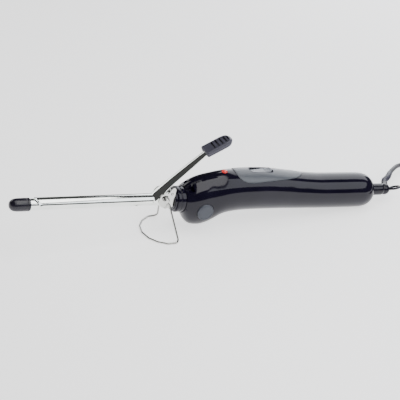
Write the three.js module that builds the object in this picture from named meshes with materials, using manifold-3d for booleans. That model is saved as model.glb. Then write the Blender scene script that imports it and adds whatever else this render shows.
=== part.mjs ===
// Hair curling iron with a 9.6 mm barrel, sprung clip and thumb lever, hinged wire
// stand, moulded two-shell handle and a swivel mains lead.
// Millimetres, +Z up. The iron rests on the stand's wire foot and on a small flat
// under the rear of the handle, both at z = 0. The iron's own frame (group `iron`)
// has x along the barrel towards the cord, z up and its origin on the barrel axis at
// the front of the handle; it leans nose up by LEAN.
import * as THREE from 'three';
import { mergeVertices } from 'three/addons/utils/BufferGeometryUtils.js';
import Module from 'manifold-3d';

const wasm = await Module();
wasm.setup();

// ---------------------------------------------------------------- driving sizes
const LEAN = 5.35 * Math.PI / 180;   // barrel axis against the table
const AXIS_Z = 29.1;                 // height of the barrel axis at iron x = 0
const FRAME_X = 27.2981;             // centre of the object's box along x, taken off at the end
const FRAME_Y = 0;
const BARREL_R = 4.8, BARREL_BORE = 4.1, BARREL_X0 = -152, BARREL_X1 = -9;
const TIP_X0 = -164, TIP_X1 = -146.6, TIP_R = 5.6;
const CLIP_X0 = -143, CLIP_X1 = -36.5, CLIP_RI = 5.15, CLIP_RO = 5.65, CLIP_HALF_DEG = 82;
const HINGE = [-27.5, 4.0];          // clip and stand turn on the two side rivets (x, z)
const EAR_Y = [5.3, 6.05];
const SADDLE_Y = [6.4, 7.2];
const LEVER_RISE = 45 * Math.PI / 180, LEVER_O = [-37.6, 2.4];
const SPRING_PIN = [-22.0, 9.0];
const WIRE_R = 0.8;
const FOOT_HALF = 23.4, FOOT_BACK = -17.4, FOOT_FRONT = -41.9;
const COLLAR_R = 11.3;
const SWIVEL_Z = 2.0, SWIVEL_R = 5.5;
const HANDLE_X1 = 185;
const CORD_D = 4.2, GAP = 0.3;
// handle stations: x, top, bottom, half width
const HANDLE = [
  [-8.6, 12.4, -12.2, 12.0], [-7.6, 13.2, -13.4, 12.7], [-5.6, 14.9, -16.4, 13.5], [-3.0, 16.9, -20.0, 14.3],
  [0.5, 19.1, -23.0, 15.1], [5.0, 21.0, -24.2, 15.8], [10, 22.5, -24.4, 16.1], [15.5, 23.6, -22.9, 16.2],
  [21, 24.6, -20.0, 16.3], [26, 25.3, -16.5, 16.4], [32, 25.9, -13.8, 16.5], [38, 26.2, -12.5, 16.6],
  [45, 26.5, -11.7, 16.6], [53, 26.6, -11.3, 16.7], [62, 26.5, -11.2, 16.7], [70, 26.1, -11.3, 16.6],
  [78, 25.2, -11.4, 16.5], [86, 24.1, -11.5, 16.3], [95, 22.9, -11.8, 16.0], [105, 21.7, -12.1, 15.9],
  [116, 20.5, -12.4, 15.7], [128, 19.6, -12.8, 15.6], [140, 19.3, -13.1, 15.5], [152, 19.1, -13.3, 15.5],
  [163, 18.9, -13.5, 15.4], [171, 18.5, -13.4, 15.3], [176.5, 17.4, -12.7, 14.5], [180.5, 15.3, -11.0, 12.8],
  [183.4, 12.3, -8.4, 10.1], [184.7, 9.4, -5.6, 7.4], [HANDLE_X1, 7.0, -3.4, 5.2],
];

// ---------------------------------------------------------------- helpers
const V3 = (x, y, z) => new THREE.Vector3(x, y, z);
function clean(geo) {                 // shared corners, faces pointing out
  let g = geo.clone();
  for (const k of Object.keys(g.attributes)) if (k !== 'position') g.deleteAttribute(k);
  g = mergeVertices(g, 1e-4);
  const p = g.attributes.position, idx = Array.from(g.index.array), out = [];
  for (let i = 0; i < idx.length; i += 3) {
    const [a, b, c] = [idx[i], idx[i + 1], idx[i + 2]];
    if (a !== b && b !== c && a !== c) out.push(a, b, c);
  }
  let vol = 0;
  for (let i = 0; i < out.length; i += 3) {
    const a = V3().fromBufferAttribute(p, out[i]), b = V3().fromBufferAttribute(p, out[i + 1]), c = V3().fromBufferAttribute(p, out[i + 2]);
    vol += a.dot(b.cross(c));
  }
  if (vol < 0) for (let i = 0; i < out.length; i += 3) { const t = out[i]; out[i] = out[i + 1]; out[i + 1] = t; }
  g.setIndex(out);
  return g;
}
const toM = (geo) => {
  const g = clean(geo);
  return new wasm.Manifold(new wasm.Mesh({ numProp: 3, vertProperties: new Float32Array(g.attributes.position.array), triVerts: new Uint32Array(g.index.array) }));
};
const fromM = (m) => {
  const r = m.getMesh(), g = new THREE.BufferGeometry();
  g.setAttribute('position', new THREE.BufferAttribute(new Float32Array(r.vertProperties), 3));
  g.setIndex(new THREE.BufferAttribute(new Uint32Array(r.triVerts), 1));
  return g;
};
const join = (...gs) => fromM(gs.map(toM).reduce((a, b) => a.add(b)));
const cut = (g, ...tools) => fromM(tools.map(toM).reduce((a, b) => a.subtract(b), toM(g)));
const meet = (a, b) => fromM(toM(a).intersect(toM(b)));
// body of revolution about x: profile of [radius, x]
function turned(profile, seg = 28, z = 0, y = 0) {
  const g = new THREE.LatheGeometry(profile.map(([r, x]) => new THREE.Vector2(r, x)), seg);
  g.rotateZ(-Math.PI / 2);
  return g.translate(0, y, z);
}
const ring = (ro, ri, x0, x1, seg = 28, z = 0, y = 0) => turned([[ri, x0], [ro, x0], [ro, x1], [ri, x1], [ri, x0]], seg, z, y);
const rod = (r, x0, x1, seg = 20, z = 0, y = 0) => turned([[0, x0], [r, x0], [r, x1], [0, x1]], seg, z, y);
const rodX = (r, x0, x1, y, z, seg = 16) => new THREE.CylinderGeometry(r, r, x1 - x0, seg).rotateZ(Math.PI / 2).translate((x0 + x1) / 2, y, z);
const rodY = (r, y0, y1, x, z, seg = 16) => new THREE.CylinderGeometry(r, r, y1 - y0, seg).translate(x, (y0 + y1) / 2, z);
const rodZ = (r, z0, z1, x, y, seg = 16) => new THREE.CylinderGeometry(r, r, z1 - z0, seg).rotateX(Math.PI / 2).translate(x, y, (z0 + z1) / 2);
const box = (x0, x1, y0, y1, z0, z1) => new THREE.BoxGeometry(x1 - x0, y1 - y0, z1 - z0).translate((x0 + x1) / 2, (y0 + y1) / 2, (z0 + z1) / 2);
// plate in the x-z plane between y0 and y1
function plate(pts, y0, y1) {
  const s = new THREE.Shape(pts.map(([x, z]) => new THREE.Vector2(x, z)));
  const g = new THREE.ExtrudeGeometry(s, { depth: y1 - y0, bevelEnabled: false, curveSegments: 12 });
  g.rotateX(Math.PI / 2);            // shape y becomes z, depth becomes -y
  return g.translate(0, y1, 0);
}
// outline in the x-y plane, between z0 and z1
function slab(pts, z0, z1) {
  const s = new THREE.Shape(pts.map(([x, y]) => new THREE.Vector2(x, y)));
  return new THREE.ExtrudeGeometry(s, { depth: z1 - z0, bevelEnabled: false }).translate(0, 0, z0);
}
const arcPts = (cx, cz, r, a0, a1, n) => Array.from({ length: n + 1 }, (_, i) => {
  const a = (a0 + (a1 - a0) * i / n) * Math.PI / 180; return [cx + r * Math.cos(a), cz + r * Math.sin(a)];
});
function circleShape(r, sides) {
  const s = new THREE.Shape();
  for (let i = 0; i < sides; i++) { const a = (i + 0.5) / sides * 2 * Math.PI; const k = r / Math.cos(Math.PI / sides); i ? s.lineTo(k * Math.cos(a), k * Math.sin(a)) : s.moveTo(k * Math.cos(a), k * Math.sin(a)); }
  s.closePath(); return s;
}
const sweep = (curve, r, sides, steps) => new THREE.ExtrudeGeometry(circleShape(r, sides), { extrudePath: curve, steps, bevelEnabled: false });
const spline = (pts, tension = 0.5) => new THREE.CatmullRomCurve3(pts.map((p) => V3(...p)), false, 'centripetal', tension);
// straight lengths joined by round bends of radius r
function bentWire(pts, r) {
  const path = new THREE.CurvePath(); const P = pts.map((p) => V3(...p)); let from = P[0];
  for (let i = 1; i < P.length - 1; i++) {
    const a = P[i - 1].clone().sub(P[i]).normalize(), b = P[i + 1].clone().sub(P[i]).normalize();
    const half = Math.acos(THREE.MathUtils.clamp(a.dot(b), -1, 1)) / 2, t = Math.min(r / Math.tan(half), P[i].distanceTo(P[i - 1]) * 0.48, P[i].distanceTo(P[i + 1]) * 0.48);
    const s = P[i].clone().addScaledVector(a, t), e = P[i].clone().addScaledVector(b, t);
    path.add(new THREE.LineCurve3(from, s)); path.add(new THREE.QuadraticBezierCurve3(s, P[i].clone(), e)); from = e;
  }
  path.add(new THREE.LineCurve3(from, P[P.length - 1]));
  return path;
}
function loft(rings) {                // rings of equal point counts, capped flat at both ends
  const n = rings[0].length, pos = rings.flat(2), idx = [];
  for (let i = 0; i < rings.length - 1; i++) for (let j = 0; j < n; j++) {
    const a = i * n + j, b = i * n + (j + 1) % n; idx.push(a, b, a + n, b, b + n, a + n);
  }
  for (const [row, flip] of [[0, false], [rings.length - 1, true]]) {
    const c = [0, 1, 2].map((k) => rings[row].reduce((s, p) => s + p[k], 0) / n), ci = pos.length / 3; pos.push(...c);
    for (let j = 0; j < n; j++) { const a = row * n + j, b = row * n + (j + 1) % n; flip ? idx.push(ci, a, b) : idx.push(ci, b, a); }
  }
  const g = new THREE.BufferGeometry();
  g.setAttribute('position', new THREE.Float32BufferAttribute(pos, 3)); g.setIndex(idx); return g;
}
// loft of a thin open section: each ring is the outer line followed by the inner line
// reversed, and the ends are closed by strips across the thickness
function channel(rings) {
  const n = rings[0].length, h = n / 2, pos = rings.flat(2), idx = [];
  for (let i = 0; i < rings.length - 1; i++) for (let j = 0; j < n; j++) {
    const a = i * n + j, b = i * n + (j + 1) % n; idx.push(a, b, a + n, b, b + n, a + n);
  }
  for (const [row, flip] of [[0, false], [rings.length - 1, true]]) for (let j = 0; j < h - 1; j++) {
    const a = row * n + j, b = a + 1, c = row * n + (n - 2 - j), d = row * n + (n - 1 - j);
    flip ? idx.push(a, b, c, a, c, d) : idx.push(a, c, b, a, d, c);
  }
  const g = new THREE.BufferGeometry();
  g.setAttribute('position', new THREE.Float32BufferAttribute(pos, 3)); g.setIndex(idx); return g;
}
const station = (x) => {
  let i = 0; while (i < HANDLE.length - 2 && HANDLE[i + 1][0] < x) i++;
  const [a, b] = [HANDLE[i], HANDLE[i + 1]], t = (x - a[0]) / (b[0] - a[0]);
  return a.map((v, k) => v + (b[k] - v) * t);
};
function handleLoft(off, x0, x1, sides, grow = 0) { // off > 0 is inside the skin
  const rows = HANDLE.filter((h) => h[0] > x0 + 0.01 && h[0] < x1 - 0.01);
  const all = [station(x0), ...rows, station(x1)];
  return loft(all.map(([x, t, b, a]) => {
    const c = (t + b) / 2, rz = Math.max((t - b) / 2 - off, 0.5), ry = Math.max(a - off, 0.5);
    return Array.from({ length: sides }, (_, j) => { const f = (j + 0.5) / sides * 2 * Math.PI; return [x, ry * Math.sin(f), c + rz * Math.cos(f)]; });
  }));
}
const mats = {
  chrome: { color: 0xc9ccc8, roughness: 0.12, metalness: 1 }, steel: { color: 0xb9b8b0, roughness: 0.38, metalness: 1 },
  black: { color: 0x201d2b, roughness: 0.12, metalness: 0 }, blackMatte: { color: 0x2a2832, roughness: 0.5, metalness: 0 },
  grey: { color: 0x767a82, roughness: 0.4, metalness: 0 }, lightGrey: { color: 0x9ea1a8, roughness: 0.38, metalness: 0 },
  disc: { color: 0x4c5260, roughness: 0.35, metalness: 0 }, red: { color: 0xd2322f, roughness: 0.15, metalness: 0 },
  mica: { color: 0xcdbd94, roughness: 0.7, metalness: 0 }, ceramic: { color: 0xe6e2d8, roughness: 0.6, metalness: 0 },
  board: { color: 0x2f6b3c, roughness: 0.5, metalness: 0 }, brass: { color: 0xb99a4c, roughness: 0.35, metalness: 1 },
  copperWire: { color: 0xa9632f, roughness: 0.4, metalness: 0.6 }, cord: { color: 0x3c3c44, roughness: 0.5, metalness: 0 },
  white: { color: 0xd9d7cf, roughness: 0.5, metalness: 0 },
};
const iron = new THREE.Group(); iron.rotation.y = LEAN; iron.position.set(-FRAME_X, -FRAME_Y, AXIS_Z);
const table = new THREE.Group(); table.position.set(-FRAME_X, -FRAME_Y, 0);
function add(name, geo, mat, group = iron) {
  const m = new THREE.Mesh(clean(geo), new THREE.MeshStandardMaterial(mats[mat])); m.name = name; group.add(m); return m;
}
// ---------------------------------------------------------------- barrel and tip
add('barrel_tube', ring(BARREL_R, BARREL_BORE, BARREL_X0, BARREL_X1, 32), 'chrome');
add('cool_tip', turned([[0, TIP_X0], [1.6, TIP_X0 + 0.15], [3.2, TIP_X0 + 0.75], [4.5, TIP_X0 + 1.9], [5.15, TIP_X0 + 3.5], [5.5, TIP_X0 + 5.6], [TIP_R, TIP_X0 + 8],
  [TIP_R, TIP_X1 - 0.4], [TIP_R - 0.4, TIP_X1], [BARREL_R + GAP, TIP_X1], [BARREL_R + GAP, BARREL_X0 - GAP], [0, BARREL_X0 - GAP]], 28), 'black');
add('tip_plug', turned([[0, BARREL_X0 + 0.2], [3.8, BARREL_X0 + 0.2], [3.8, BARREL_X0 + 7], [3.2, BARREL_X0 + 8], [0, BARREL_X0 + 8]], 16), 'ceramic');
// heater inside the barrel
add('heater_core', rod(2.3, -138, -40, 12), 'ceramic');
add('mica_sleeve', ring(3.6, 2.7, -137, -41, 16), 'mica');
add('heater_lead_line', sweep(spline([[-39.2, 1.4, 0.6], [-20, 2, 0.8], [0, 3, 1], [14, 4.5, 2.5], [24, 5.2, 6.4]]), 0.6, 5, 12), 'copperWire');
add('heater_lead_neutral', sweep(spline([[-39.2, -1.4, 0.6], [-20, -2, 0.8], [0, -3, 1], [14, -4.5, 2.5], [24, -5.2, 6.4]]), 0.6, 5, 12), 'copperWire');
add('thermal_fuse', rod(1.2, -36, -26, 10, -2.2), 'white');

// ---------------------------------------------------------------- clip, ears and thumb lever (one pressing)
{
  const h = CLIP_HALF_DEG, arc = (r, a0, a1) => arcPts(0, 0, r, a0, a1, 14);
  const sec = [...arc(CLIP_RO, 90 - h, 90 + h), ...arc(CLIP_RI, 90 + h, 90 - h)];
  const s = new THREE.Shape(sec.map(([y, z]) => new THREE.Vector2(y, z)));
  let half = new THREE.ExtrudeGeometry(s, { depth: CLIP_X1 - CLIP_X0, bevelEnabled: false });
  half.applyMatrix4(new THREE.Matrix4().makeBasis(V3(0, 1, 0), V3(0, 0, 1), V3(1, 0, 0))).translate(CLIP_X0, 0, 0);
  // the front lip is cut round: long on top, short at the edges
  const nose = plate([[CLIP_X0 - 1, -1], [CLIP_X0 + 4.4, -1], [CLIP_X0 + 3.6, 2], [CLIP_X0 + 1.8, 4.2], [CLIP_X0 + 0.4, 5.6], [CLIP_X0 - 0.2, 6.5], [CLIP_X0 - 1, 6.5]], -8, 8);
  half = cut(half, nose);
  // ear plates inside the saddle, joined to the lever's flanges
  const [hx, hz] = HINGE;
  const earOutline = [[-37.4, 1.0], [-34.6, -0.6], [-31.0, -3.0], [-27.5, -3.9], [-24.2, -3.0], [-21.4, 0.0], [-20.4, 3.5], [-20.9, 6.2], [-23.6, 9.0], [-26.2, 10.4], [-35.2, 1.6], [-37.4, 3.0]];
  const lug = join(plate(earOutline, -EAR_Y[1], -EAR_Y[0]), plate(earOutline, EAR_Y[0], EAR_Y[1]));
  // lever: pressed channel, flanged at the root, tapering to the thumb rest
  const rings = [], T = 0.75;
  for (const [d, hw, crown, fy, fd] of [[0, 4.6, 1.9, EAR_Y[1], 3.2], [9, 4.6, 2.2, EAR_Y[1], 3.2], [13, 4.55, 2.3, 5.3, 1.5], [24, 4.4, 2.3, 4.8, 1.2], [42, 3.9, 1.9, 4.2, 1.1], [57, 3.3, 1.2, 3.5, 1.0], [62.5, 3.1, 1.0, 3.3, 0.9]]) {
    const ox = LEVER_O[0] + d * Math.cos(LEVER_RISE), oz = LEVER_O[1] + d * Math.sin(LEVER_RISE), ring_ = [];
    const put = (y, up) => ring_.push([ox - up * Math.sin(LEVER_RISE), y, oz + up * Math.cos(LEVER_RISE)]);
    put(-fy, -fd); put(-fy, -fd * 0.72);
    for (let i = 0; i <= 6; i++) { const u = i / 3 - 1; put(u * hw, crown * (1 - u * u)); }
    put(fy, -fd * 0.72); put(fy, -fd);
    put(fy - T, -fd); put(fy - T, -fd * 0.72 - 0.15);
    for (let i = 6; i >= 0; i--) { const u = i / 3 - 1; put(u * (hw - 0.4), crown * (1 - u * u) - T); }
    put(-fy + T, -fd * 0.72 - 0.15); put(-fy + T, -fd);
    rings.push(ring_);
  }
  let g = join(half, lug, channel(rings));
  // holes for the rivets, and room for the barrel
  g = cut(g, rodY(1.5, -9, 9, hx, hz, 16), rod(CLIP_RI, -60, -18, 28));
  add('clip_and_lever', g, 'chrome');
}
// thumb rest: ribbed moulding on the lever's end
{
  const a = 30 * Math.PI / 180, o = [2.3, 46.9], W = 7.0, Lp = 26.5, T = 5.0;
  const prof = [[0, 0]];
  prof.push([Lp - 2.2, 0], [Lp - 0.5, -1.0], [Lp, -2.6], [Lp - 1, -T + 0.8], [Lp - 3, -T], [1, -T], [0, -T + 1]);
  let g = plate(prof, -W, W);
  const outline = [[-0.2, -5.9], [1.4, -W], [Lp - 9, -W], [Lp - 4.2, -6.2], [Lp - 1.4, -4.1], [Lp + 0.1, -1.4], [Lp + 0.1, 1.4], [Lp - 1.4, 4.1], [Lp - 4.2, 6.2], [Lp - 9, W], [1.4, W], [-0.2, 5.9]];
  g = meet(g, slab(outline, -8, 3));
  // five short grip slots across the top
  for (const [x, w] of [[9.2, 5], [13.1, 5], [16.9, 5], [20.6, 4.3], [23.6, 2.6]]) g = cut(g, box(x - 0.7, x + 0.7, -w, w, -0.85, 2));
  // pocket for the lever's tongue, worked in the lever's own direction
  g.rotateY(-a).translate(o[0], 0, o[1]);
  const d0 = 48, d1 = 63, pocket = plate([[d0, -2.2], [d1, -2.2], [d1, 1.5], [d0, 2.3]], -4.4, 4.4);
  pocket.rotateY(-LEVER_RISE).translate(LEVER_O[0], 0, LEVER_O[1]);
  g = cut(g, pocket);
  add('thumb_rest', g, 'blackMatte');
}
// ---------------------------------------------------------------- fixed saddle, rivets, spring
{
  const [hx, hz] = HINGE, [sx, sz] = SPRING_PIN;
  const wall = [[-33.4, 0.4], [-30.3, -3.1], [-26.1, -5.2], [-22.5, -4.6], [-19.4, -3.4], [-18.8, -3.4], [-18.8, 7.0], [-19.0, 12.0], ...arcPts(-21.2, 12.4, 2.2, 0, 140, 8), [-24.6, 10.6], ...arcPts(hx, hz, 5.4, 75, 180, 8)];
  const web = box(-19.4, -18.8, -SADDLE_Y[1], SADDLE_Y[1], -3.4, 7.0);
  const g = join(plate(wall, -SADDLE_Y[1], -SADDLE_Y[0]), plate(wall, SADDLE_Y[0], SADDLE_Y[1]), web);
  add('saddle_bracket', cut(g, rodY(1.5, -9, 9, hx, hz), rodY(1.1, -9, 9, sx, sz), rod(BARREL_R + GAP, -22, -16, 28)), 'steel');
  for (const [side, s] of [['left', -1], ['right', 1]]) {
    const [a, b] = s < 0 ? [-10.35, -4.9] : [4.9, 10.35];
    const shank = rodY(1.15, a, b, hx, hz, 16), head = s < 0 ? rodY(2.2, -11.1, -10.35, hx, hz, 16) : rodY(2.2, 10.35, 11.1, hx, hz, 16);
    const foot = s < 0 ? rodY(1.9, -5.0, -4.4, hx, hz, 16) : rodY(1.9, 4.4, 5.0, hx, hz, 16);
    // the inner head is flattened on the side that faces the barrel
    add(`pivot_rivet_${side}`, cut(join(shank, head, foot), rod(BARREL_R + GAP, hx - 6, hx + 6, 28)), 'steel');
  }
  add('spring_pin', rodY(0.8, -7.6, 7.6, sx, sz, 12), 'steel');
  const coil = new THREE.LatheGeometry([[1.1, -4.9], [1.9, -4.9], [1.9, 4.9], [1.1, 4.9], [1.1, -4.9]].map(([r, y]) => new THREE.Vector2(r, y)), 16).translate(sx, 0, sz);
  add('clip_spring', coil, 'steel');
}
// ---------------------------------------------------------------- neck collar
add('neck_collar', turned([[5.1, -18.5], [9.6, -18.5], [9.9, -18.2], [9.9, -16.2], [COLLAR_R - 0.3, -16.2], [COLLAR_R, -15.8], [COLLAR_R, 9], [7.5, 9], [7.5, -8.6], [5.1, -8.6], [5.1, -18.5]], 26), 'black');

// ---------------------------------------------------------------- handle shells
const panelOutline = (g) => { // teardrop on the top of the handle, g shrinks it
  const pts = [[36.6, 0], [36.9, 3.8], [38.2, 7.5], [40.8, 10.2], [45, 11.7], [51, 12.3], [58, 12.2], [68, 11.5], [80, 10.1], [92, 8.1], [100, 6.0], [103.6, 3.8], [104.9, 1.6], [105.1, 0]];
  const c = 62, all = [...pts, ...pts.slice(1, -1).reverse().map(([x, y]) => [x, -y])];
  return all.map(([x, y]) => [x + (x < c ? g : -g) * Math.min(1, Math.abs(x - c) / 20), y - Math.sign(y) * Math.min(g, Math.abs(y))]);
};
const SWITCH = { x0: 51.5, x1: 75.5, w: 4.6, px: 63.5, pz: 19.5 };
{
  const outer = handleLoft(0, -8.6, HANDLE_X1, 28), inner = handleLoft(2.3, 8, 180, 14);
  let m = toM(outer).subtract(toM(inner));
  const take = (g) => { m = m.subtract(toM(g)); };
  take(rod(COLLAR_R + GAP, -12, 9.4, 26));
  // windows either side of the nose that show the collar
  for (const s of [-1, 1]) take(slab([[-14, s * 3.2], [-3.2, s * 3.2], [-2.3, s * 4.2], [-2.3, s * 9.8], [-14, s * 9.8]], 10.6, 30));
  take(rod(SWIVEL_R + 0.4, 176, 188, 24, SWIVEL_Z));
  // pocket for the control panel, cut by the panel's own outline
  const skin = toM(handleLoft(-1.0, 30, 112, 28)).subtract(toM(handleLoft(1.7, 28, 114, 28)));
  m = m.subtract(skin.intersect(toM(slab(panelOutline(-GAP), 8, 34))));
  take(slab([[49, -6.6], [78, -6.6], [78, 6.6], [49, 6.6]], 16, 34));                       // opening under the switch
  take(rodZ(2.9, 16, 34, 27.6, 0, 20));                                                     // lamp hole
  for (const s of [-1, 1]) take(s < 0 ? rodY(7.8, -19, -13.6, 8.9, -5.2, 28) : rodY(7.8, 13.6, 19, 8.9, -5.2, 28)); // side caps
  take(box(150, 200, -20, 20, -60, 0).translate(0, 0, -AXIS_Z).rotateY(-LEAN));               // flat that rests on the table
  const shell = (s) => {
    let h = m.intersect(toM(s < 0 ? box(-20, 200, -40, -0.15, -40, 40) : box(-20, 200, 0.15, 40, -40, 40)));
    // screw posts
    for (const [x, z] of [[30, -8], [112, 10], [154, 10]]) {
      const y0 = s < 0 ? -15.4 : 0.4, y1 = s < 0 ? -0.4 : 15.4;
      const post = toM(rodY(3.0, y0, y1, x, z, 12)).intersect(toM(handleLoft(1.2, -8, 182, 24)));
      h = h.add(post).subtract(toM(s < 0 ? rodY(1.5, -12, 0, x, z, 10) : rodY(1.5, 0, 12, x, z, 10)));
    }
    return h;
  };
  add('handle_shell_left', fromM(shell(-1)), 'black');
  add('handle_shell_right', fromM(shell(1)), 'black');
  // control panel insert
  const pskin = toM(handleLoft(-0.12, 30, 112, 28)).subtract(toM(handleLoft(1.4, 28, 114, 28)));
  let p = pskin.intersect(toM(slab(panelOutline(0), 8, 34)));
  const slot = slab([[SWITCH.x0, -SWITCH.w], [SWITCH.x1, -SWITCH.w], [SWITCH.x1, SWITCH.w], [SWITCH.x0, SWITCH.w]], 10, 40);
  p = p.subtract(toM(slot));
  add('switch_panel', fromM(p), 'grey');
}
for (const [i, x, z] of [[1, 30, -8], [2, 112, 10], [3, 154, 10]])
  add(`shell_screw_${i}`, join(rodY(1.1, -9, 9, x, z, 10), rodY(1.15, -10.5, -9, x, z, 10)), 'steel');
for (const [n, s] of [['left', -1], ['right', 1]]) {
  const lath = new THREE.LatheGeometry([[0, 13.9], [6.9, 13.9], [6.9, 14.6], [7.5, 14.6], [7.5, 16.1], [7.2, 16.35], [0, 16.35]].map(([r, y]) => new THREE.Vector2(r, y)), 28);
  if (s < 0) lath.rotateZ(Math.PI);
  add(`side_cap_${n}`, lath.translate(8.9, 0, -5.2), 'disc');
}
// ---------------------------------------------------------------- switch, lamp, board
{
  const x0 = SWITCH.x0 + 0.5, x1 = SWITCH.x1 - 1.0, w = SWITCH.w - 0.5;
  // rocker pushed down at the front, standing up at the rear
  const prof = [[x0, 22.0], [x0, 24.7], [x0 + 1.0, 25.1], [63.5, 25.8], [69, 26.6], [x1 - 1.2, 27.0], [x1, 26.5], [x1, 22.4], [63.5, 21.4]];
  add('rocker_button', plate(prof, -w, w), 'lightGrey');
  add('switch_body', join(box(55, 72, -4.4, 4.4, 9.6, 19.0), box(58, 60, -1, 1, 6, 10), box(67, 69, -1, 1, 6, 10)), 'blackMatte');
  add('rocker_pin', rodY(0.8, -5.8, 5.8, 63.5, 20.3, 10), 'steel');
}
add('indicator_lens', turned([[0, 21.5], [2.1, 21.5], [2.1, 24.2], [2.5, 24.2], [2.5, 25.6], [2.2, 26.2], [1.4, 26.7], [0, 26.9]], 20).rotateY(-Math.PI / 2).translate(27.6, 0, 0), 'red');
add('indicator_lamp', rodZ(1.6, 14.5, 21.1, 27.6, 0, 12), 'white');
add('circuit_board', box(24, 50, -9, 9, 7.6, 9.2), 'board');
add('dropper_resistor', rodY(1.3, -4, 4, 38, 11.2, 10), 'ceramic');
add('lead_to_switch_line', sweep(spline([[50.6, 6, 8.4], [58, 7.2, 6], [90, 7.5, 2], [136, 5, 2], [159.5, 3.0, 2]]), 0.8, 5, 14), 'copperWire');
add('lead_to_switch_neutral', sweep(spline([[50.6, -6, 8.4], [58, -7.2, 6], [90, -7.5, 2], [136, -5, 2], [159.5, -3.0, 2]]), 0.8, 5, 14), 'copperWire');
// ---------------------------------------------------------------- cord swivel
add('swivel_socket', ring(9.4, 7.6, 161, 175.4, 24, SWIVEL_Z), 'blackMatte');
add('contact_disc', turned([[0, 160], [5.5, 160], [5.5, 162.4], [0, 162.4]], 18, SWIVEL_Z), 'brass');
add('swivel_bush', ring(9.2, 5.9, 175.8, 177.4, 24, SWIVEL_Z), 'white');
const EXIT_DIR = [0.52, 0.85, 0.12], EXIT_AT = 9.0, BALL = [201.2, 0, SWIVEL_Z];
{
  const n = Math.hypot(...EXIT_DIR), u = EXIT_DIR.map((v) => v / n);
  const stem = turned([[0, 163], [7.0, 163], [7.0, 166], [SWIVEL_R - 0.4, 166.5], [SWIVEL_R - 0.4, 185.4], [SWIVEL_R, 185.7], [SWIVEL_R, 197.2], [5.0, 198.0], [0, 198.0]], 24, SWIVEL_Z);
  const ball = new THREE.SphereGeometry(5.3, 14, 8).rotateZ(-Math.PI / 2).translate(...BALL);
  const stub = new THREE.CylinderGeometry(2.7, 3.9, EXIT_AT, 16).translate(0, EXIT_AT / 2, 0);
  stub.applyQuaternion(new THREE.Quaternion().setFromUnitVectors(V3(0, 1, 0), V3(...u))).translate(...BALL);
  add('swivel_stem', join(stem, ball, stub), 'black');
  // hanging loop: flat ring standing off the end of the ball, lying close to level
  const loop = new THREE.TorusGeometry(4.7, 1.0, 6, 18); // in its own x-y plane
  const neck = box(-6.3, -4.5, -1.3, 1.3, -0.95, 0.95);
  const lg = join(loop, neck); lg.rotateX(-0.40).rotateY(-0.24).translate(BALL[0] + 5.3 + 6.4, 0, SWIVEL_Z + 0.9);
  add('hanging_loop', lg, 'black');
}
// ---------------------------------------------------------------- wire stand
const toTable = (x, y, z) => [x * Math.cos(LEAN) + z * Math.sin(LEAN), y, AXIS_Z - x * Math.sin(LEAN) + z * Math.cos(LEAN)];
{
  const top = (s) => [toTable(HINGE[0], s * 9.2, HINGE[1]), toTable(-24.6, s * 9.4, 1.4)];
  const z = WIRE_R + 0.031, half = [[FOOT_BACK, FOOT_HALF, z], [-27.0, FOOT_HALF - 0.6, z], [-34.6, 17.6, z], [-39.8, 10.2, z]];
  const eye = (s) => { // open eye round the rivet, in the x-z plane
    const [hx, , hz] = toTable(HINGE[0], 0, HINGE[1]); const pts = [];
    for (let i = 0; i <= 10; i++) { const a = (-150 + 300 * (1 - i / 10) + 20) * Math.PI / 180; pts.push([hx + 2.25 * Math.cos(a), s * 9.2, hz + 2.25 * Math.sin(a)]); }
    return pts;
  };
  // eye, leg, foot and back up the other side
  const nearPts = eye(-1), farPts = eye(1);
  const knee = (s) => toTable(-24.0, s * 9.6, 0.2);
  const pts = [...nearPts.slice(0, 9), knee(-1), toTable(-22.6, -11.6, -4.6)];
  const side = (s) => half.map(([x, y, zz]) => [x, s * y, zz]);
  const all = [...pts, ...side(-1), [FOOT_FRONT, 0, z], ...side(1).reverse(), toTable(-22.6, 11.6, -4.6), knee(1), ...farPts.slice(0, 9).reverse()];
  add('wire_stand', sweep(bentWire(all, 3.2), WIRE_R, 6, 96), 'steel', table);
}
// ---------------------------------------------------------------- mains lead
const n_ = Math.hypot(...EXIT_DIR), U = EXIT_DIR.map((v) => v / n_);
const exitPt = toTable(BALL[0] + U[0] * (EXIT_AT + GAP), U[1] * (EXIT_AT + GAP), SWIVEL_Z + U[2] * (EXIT_AT + GAP));
const exitDir = [U[0] * Math.cos(LEAN) + U[2] * Math.sin(LEAN), U[1], -U[0] * Math.sin(LEAN) + U[2] * Math.cos(LEAN)];
const COIL = { x: 280.5, y: 5, r: 23.5, hw: 6.4, h: 16.9, row: 27.7, top: 14.73 };   // row, top: the outer turns' radius, the top turns' height
export const CORD_ROUTE = [
  exitPt, [exitPt[0] + exitDir[0] * 5, exitPt[1] + exitDir[1] * 5, exitPt[2] + exitDir[2] * 5],
  [213.6, 15.8, 13.9], [222.9, 25.4, 13.1], [233.5, 34.6, 11.4], [241.2, 40.6, 9.4], [249.6, 44.3, 7.4], [259.4, 43.5, 5.2], [266.3, 39.1, 3.6],
  [273.2, 34.2, 2.5], [277, 33.0, 2.16], [COIL.x - GAP, COIL.y + COIL.row, 2.13],
];
const BEND = { x: COIL.x + COIL.row - 17, y: -24, r: 17 };   // the end of the lead turns back here, to lie along the iron
export const TAIL_ROUTE = [
  [COIL.x + COIL.row, COIL.y - GAP, 14.73], [COIL.x + COIL.row, -4.5, 14.73], [COIL.x + COIL.row, -13.5, 14.3], [COIL.x + COIL.row, -22.5, 12.6],
  ...[[30, 10.7], [60, 8.8], [90, 7.4]].map(([d, z]) => [BEND.x + BEND.r * Math.cos(d * Math.PI / 180), BEND.y - BEND.r * Math.sin(d * Math.PI / 180), z]),
  [288, BEND.y - BEND.r, 6.95], [285, BEND.y - BEND.r, 6.83],
];
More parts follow.
